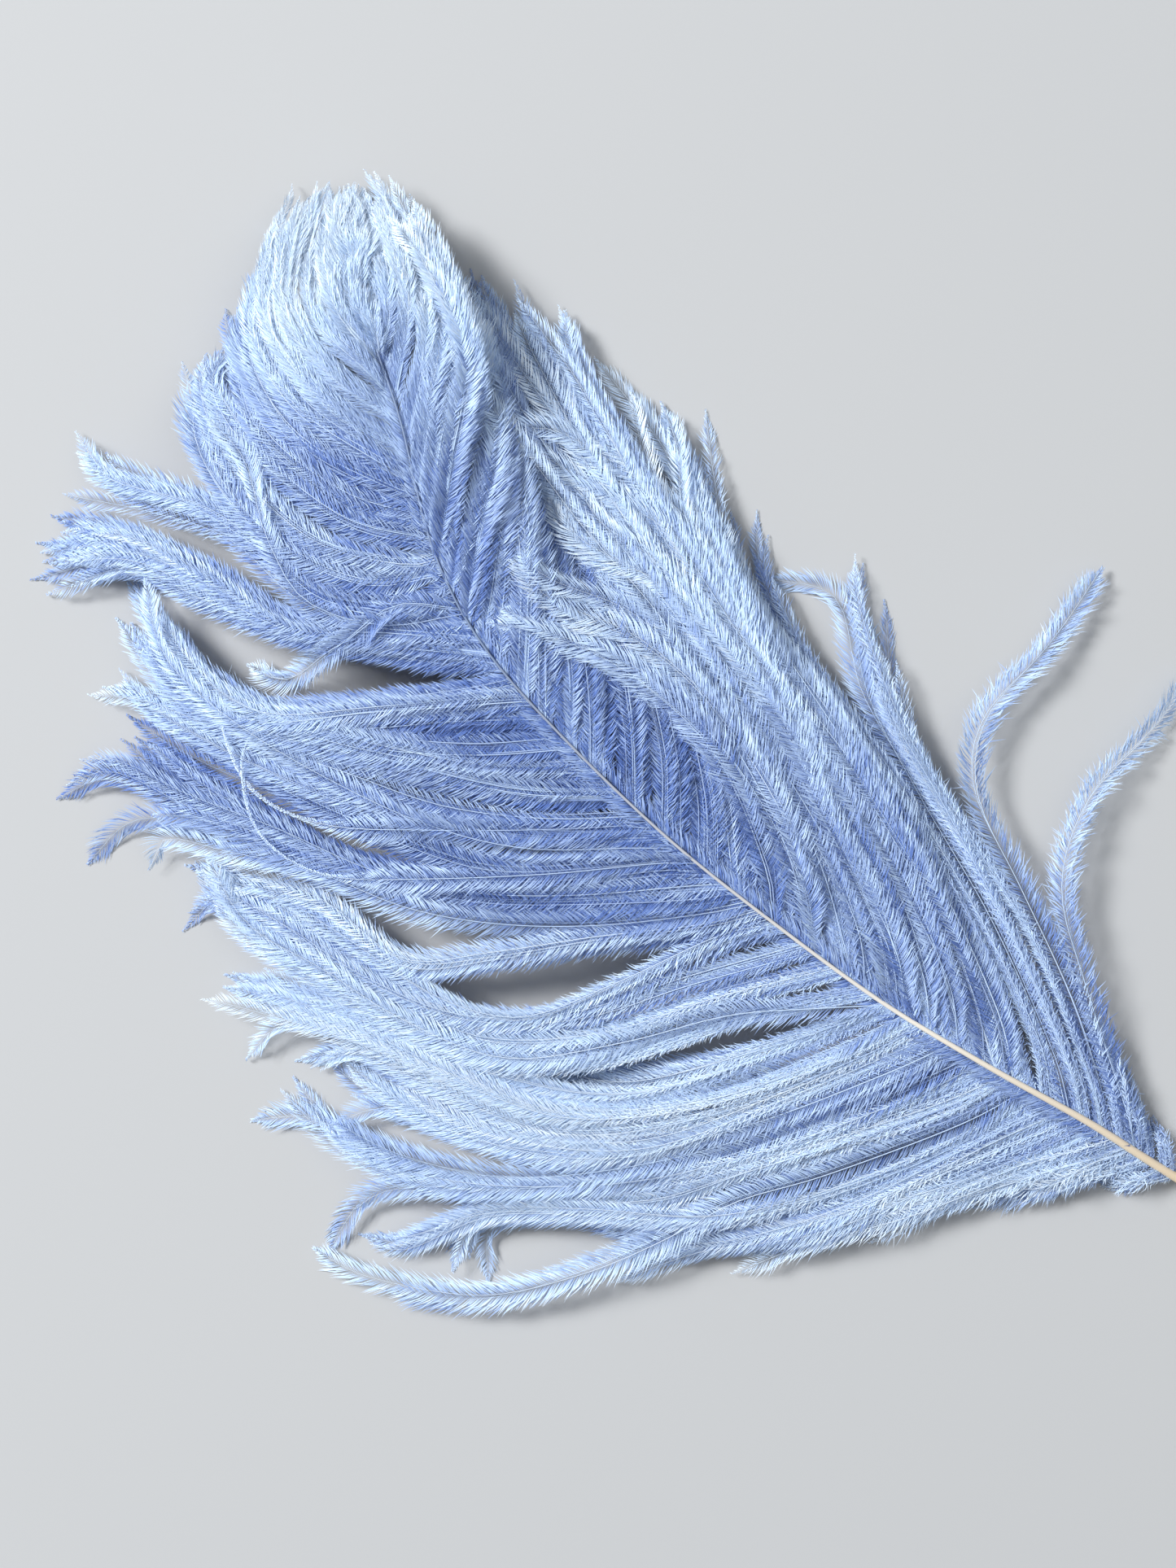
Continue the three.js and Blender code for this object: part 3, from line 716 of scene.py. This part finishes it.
def barb_tone(rng, lock, side_name, over):
    """The tone along one barb of a lock, which differs from barb to barb, with painted light and shade by
    how the barb lies and where it grows.
    """
    top = lies_on_top(lock)
    # Barbs under the others take deeper tones, a painted shade, and those over or on top take paler ones, a
    # painted light.
    first, last = (OVER_LIGHT_TONES if over else UNDER_SHADE_TONES)[side_name]
    if top:
        first, last = TOP_LIGHT_TONES
    if is_loose(lock):
        first, last = LOOSE_TONES
    silky = smoothstep(lock.root, *SILKY_FROM)
    spread = BARB_SPREAD * (1 - SILKY_EVEN * silky)
    first += rng.normal(0, spread)
    last += rng.normal(0, spread)
    # Higher layers are painted paler and lower ones deeper, a painted light and shade.
    paler = 0 if top else LAYER_LIGHT_AND_SHADE * (min(lock.layer, TOP_LAYER) - MIDDLE_LAYER)
    first += paler
    last += paler
    # Barbs low on the plume are painted paler, a painted sheen, weaker on those under the others.
    low = 1 - smoothstep(lock.root, *LOW_TO)
    first += LOW_ROOT_SHEEN[side_name] * low
    last += LOW_TIP_SHEEN[side_name] * low * (1 if over else LOW_UNDER_SHEEN)
    # Barbs high in the right vane are painted paler, a painted light.
    last += HIGH_PAINTED_LIGHT[side_name] * smoothstep(lock.root, *HIGH_FROM)
    # The head's barbs are painted paler, a painted sheen.
    first += HEAD_SHEEN_AMOUNT * smoothstep(lock.root, *SHEEN_ROOTS_FROM[side_name])
    last += TIP_SHEEN_SHARE * HEAD_SHEEN_AMOUNT * silky
    band = smoothstep(lock.root, *BAND_FROM) * (1 - smoothstep(lock.root, *BAND_TO))
    band *= side_name == "left" and not top
    last -= BAND_DEEPER * band
    starts = PALES[0] + BAND_LATER * band
    # Low and head barbs turn pale sooner along their length, part of their painted sheen.
    ends = PALES[1] - SHEEN_SOONER_AT_HEAD * silky - LOW_SHEEN_SOONER[side_name] * low
    return tone_along(first, last, (starts, ends))


def add_quill_fringe(rng, strands, side_name):
    """The short barbules along the quill itself."""
    tone = tone_along(*QUILL_FRINGE_TONES, QUILL_FRINGE_PALES)
    for lowest in QUILL_FRINGE_FROM:
        line = resample(QUILL[QUILL[:, 1] > lowest], 1, FINE_STATIONS)
        line[:, 2] -= QUILL_FRINGE_DROP
        barb = Barb(
            line, QUILL_FRINGE_LIKE, side_name, over=False, lone=True, bare=False,
            row=strands.barbs, tone=tone,
        )
        add_barbules(rng, strands, barb)
        strands.barbs += 1


def make_barbs():
    """All the barbs of both vanes, in pieces of a limited size."""
    rng = np.random.default_rng(SEED)
    material = barb_material()
    vanes = {
        "left": [Lock(*row) for row in LEFT_LOCKS],
        "right": [Lock(*row) for row in RIGHT_LOCKS],
    }
    lines = {}
    surface = Surface()
    for side_name, locks in vanes.items():
        for lock in locks:
            lines[lock] = barb_lines(rng, lock, side_name)
            if not lies_on_top(lock):
                for line, _ in lines[lock]:
                    surface.add(line)
    pieces = []
    for side_name, locks in vanes.items():
        strands = Strands()
        for lock in locks:
            top = lies_on_top(lock)
            for line, over in lines[lock]:
                barb = Barb(
                    surface.lay(line) if top else line, lock.root, side_name, over,
                    lone=top or is_loose(lock), bare=lock.width < BARE_WIDTH,
                    row=strands.barbs, tone=barb_tone(rng, lock, side_name, over),
                )
                add_stem(strands, barb)
                add_barbules(rng, strands, barb)
                strands.barbs += 1
            if lock is locks[0]:
                add_quill_fringe(rng, strands, side_name)
            if strands.size() > MOST_TRIANGLES or lock is locks[-1]:
                part = 1 + sum(piece.name.startswith(side_name) for piece in pieces)
                pieces.append(strands.make(f"{side_name}_barbs_{part}", material))
                strands = Strands()
    return pieces


def plain_material(name, colour, roughness):
    """A material of one colour."""
    material = bpy.data.materials.new(name)
    material.use_nodes = True
    shader = material.node_tree.nodes["Principled BSDF"]
    shader.inputs["Base Color"].default_value = (*colour, 1)
    shader.inputs["Roughness"].default_value = roughness
    return material


# The blues of the barbs, each with the tone that it stands for, and how they take the light.
# The first, a near black blue, is a painted shadow, and the last, a near white one, is a
# painted highlight.
PALE_BLUE = (0.6, 0.77, 1.0)
SHADOW_BLUE = (-0.5, (0.05, 0.1, 0.31))
MIDDLE_BLUES = ((0, (0.12, 0.21, 0.54)), (1, PALE_BLUE))
HIGHLIGHT_BLUE = (1.5, (0.77, 0.88, 1.0))
BARB_ROUGHNESS = 0.75
BARB_SPECULAR = 0.25
BARB_SHEEN = 0.25
BARB_SHEEN_ROUGHNESS = 0.5


def barb_material():
    """Dyed barbs: deeper by the quill and paler to the tips, as the tone of each point says, with a painted
    shadow at the deep end and a painted highlight at the pale end.
    """
    material = plain_material("barb_blue", PALE_BLUE, BARB_ROUGHNESS)
    nodes = material.node_tree.nodes
    links = material.node_tree.links
    shader = nodes["Principled BSDF"]
    shader.inputs["Specular IOR Level"].default_value = BARB_SPECULAR
    shader.inputs["Sheen Weight"].default_value = BARB_SHEEN
    shader.inputs["Sheen Roughness"].default_value = BARB_SHEEN_ROUGHNESS
    tone = nodes.new("ShaderNodeAttribute")
    tone.attribute_name = "tone"
    share = nodes.new("ShaderNodeMapRange")
    share.inputs["From Min"].default_value = SHADOW_BLUE[0]
    share.inputs["From Max"].default_value = HIGHLIGHT_BLUE[0]
    # The ramp runs from a painted shadow blue through the barbs' blues to a painted highlight.
    ramp = nodes.new("ShaderNodeValToRGB")
    ramp.color_ramp.elements[0].color = (*SHADOW_BLUE[1], 1)
    ramp.color_ramp.elements[1].color = (*HIGHLIGHT_BLUE[1], 1)
    for value, colour in MIDDLE_BLUES:
        place = (value - SHADOW_BLUE[0]) / (HIGHLIGHT_BLUE[0] - SHADOW_BLUE[0])
        ramp.color_ramp.elements.new(place).color = (*colour, 1)
    links.new(tone.outputs["Fac"], share.inputs["Value"])
    links.new(share.outputs["Result"], ramp.inputs["Fac"])
    links.new(ramp.outputs["Color"], shader.inputs["Base Color"])
    return material


# The quill's colours, the places along Y of the first and the last one, and where between
# these two it is cream. It is a little flatter than round.
QUILL_TAN = (0.7, 0.57, 0.4)
QUILL_CREAM = (0.84, 0.79, 0.7)
QUILL_BLUE = (0.2, 0.27, 0.42)
QUILL_TAN_AT = -206
QUILL_BLUE_AT = 90
QUILL_CREAM_SHARE = 0.35
QUILL_ROUGHNESS = 0.45
QUILL_SIDES = 12
QUILL_RINGS = 120
QUILL_FLATNESS = 0.85


def quill_material():
    """A horn-like quill: tan at its bare end, then cream, and greyer and bluer to the tip."""
    material = plain_material("quill_horn", QUILL_CREAM, QUILL_ROUGHNESS)
    nodes = material.node_tree.nodes
    links = material.node_tree.links
    place = nodes.new("ShaderNodeTexCoord")
    split = nodes.new("ShaderNodeSeparateXYZ")
    share = nodes.new("ShaderNodeMapRange")
    share.inputs["From Min"].default_value = QUILL_TAN_AT * MM
    share.inputs["From Max"].default_value = QUILL_BLUE_AT * MM
    ramp = nodes.new("ShaderNodeValToRGB")
    ramp.color_ramp.elements[0].color = (*QUILL_TAN, 1)
    ramp.color_ramp.elements.new(QUILL_CREAM_SHARE).color = (*QUILL_CREAM, 1)
    ramp.color_ramp.elements[-1].color = (*QUILL_BLUE, 1)
    links.new(place.outputs["Object"], split.inputs["Vector"])
    links.new(split.outputs["Y"], share.inputs["Value"])
    links.new(share.outputs["Result"], ramp.inputs["Fac"])
    links.new(ramp.outputs["Color"], nodes["Principled BSDF"].inputs["Base Color"])
    return material


def make_quill():
    """The quill as a tapered tube."""
    places = np.linspace(0, 1, QUILL_RINGS)
    line = smooth_curve(QUILL_LINE, places)
    side, up = side_and_up(directions(line))
    radius = QUILL_TIP_RADIUS + (QUILL_END_RADIUS - QUILL_TIP_RADIUS) * (1 - places) ** QUILL_TAPER
    radius = radius[:, None, None]
    angles = np.linspace(0, 2 * math.pi, QUILL_SIDES, endpoint=False)[None, :, None]
    points = (
        line[:, None]
        + radius * np.cos(angles) * side[:, None]
        + QUILL_FLATNESS * radius * np.sin(angles) * up[:, None]
    ).reshape(-1, 3)
    faces = []
    for i in range(QUILL_RINGS - 1):
        ring = i * QUILL_SIDES
        following = ring + QUILL_SIDES
        for j in range(QUILL_SIDES):
            k = (j + 1) % QUILL_SIDES
            faces.append((ring + j, following + j, following + k, ring + k))
    faces.append(tuple(range(QUILL_SIDES)))
    faces.append(tuple(reversed(range((QUILL_RINGS - 1) * QUILL_SIDES, len(points)))))
    mesh = bpy.data.meshes.new("quill")
    mesh.from_pydata(((points + TO_FRAME) * MM).tolist(), [], faces)
    mesh.polygons.foreach_set("use_smooth", [True] * len(mesh.polygons))
    mesh.materials.append(quill_material())
    piece = bpy.data.objects.new("quill", mesh)
    bpy.context.scene.collection.objects.link(piece)
    return piece


for piece in [make_quill(), *make_barbs()]:
    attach(piece, "root")
    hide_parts("feather")


# The stage: a pale floor just below the plume and a dim sky, in metres.
FLOOR_GREY = (0.5, 0.51, 0.52)
FLOOR_ROUGHNESS = 0.9
FLOOR_SIZE = 30
FLOOR_HEIGHT = -0.0002
SKY_COLOUR = (0.9, 0.95, 1, 1)
SKY_STRENGTH = 0.3

# A broad light from above and beyond the plume's tip, and a weak one from above. Each has its
# place and its width in metres and its power in watts, and points at the plume.
LIGHTS = (
    ("key", (-1.12, 3.04, 3.04), 1.28, 256),
    ("fill", (0.5, -0.4, 1.4), 1.5, 4),
)

# The camera looks straight down, turned so that the plume lies across the picture, from
# the lower right to the upper left. The picture is VIEW_HEIGHT tall on the floor.
VIEW_CENTRE = (0.0026, 0.0335)
VIEW_HEIGHT = 0.5396
VIEW_TURN = -45
LENS = 70
SENSOR = 36


def make_floor():
    """The surface that the plume lies on."""
    bpy.ops.mesh.primitive_plane_add(size=FLOOR_SIZE)
    floor = bpy.context.object
    floor.name = "floor"
    floor.location.z = FLOOR_HEIGHT
    floor.data.materials.append(plain_material("floor_paper", FLOOR_GREY, FLOOR_ROUGHNESS))


def make_light(name, place, size, power):
    """A square light that points at the origin."""
    data = bpy.data.lights.new(name, "AREA")
    data.size = size
    data.energy = power
    light = bpy.data.objects.new(name, data)
    bpy.context.scene.collection.objects.link(light)
    light.location = place
    light.rotation_euler = (-Vector(place)).to_track_quat("-Z", "Y").to_euler()


def make_camera():
    """The camera, as far above the floor as its lens needs to show VIEW_HEIGHT."""
    data = bpy.data.cameras.new("camera")
    data.lens = LENS
    data.sensor_width = SENSOR
    camera = bpy.data.objects.new("camera", data)
    bpy.context.scene.collection.objects.link(camera)
    camera.location = (*VIEW_CENTRE, VIEW_HEIGHT * LENS / SENSOR)
    camera.rotation_euler = (0, 0, math.radians(VIEW_TURN))
    bpy.context.scene.camera = camera


def make_sky():
    """The dim even light from all around."""
    world = bpy.data.worlds.new("world")
    bpy.context.scene.world = world
    world.use_nodes = True
    background = world.node_tree.nodes["Background"]
    background.inputs["Color"].default_value = SKY_COLOUR
    background.inputs["Strength"].default_value = SKY_STRENGTH


make_floor()
for light in LIGHTS:
    make_light(*light)
make_camera()
make_sky()
bpy.context.scene.view_settings.view_transform = "Standard"
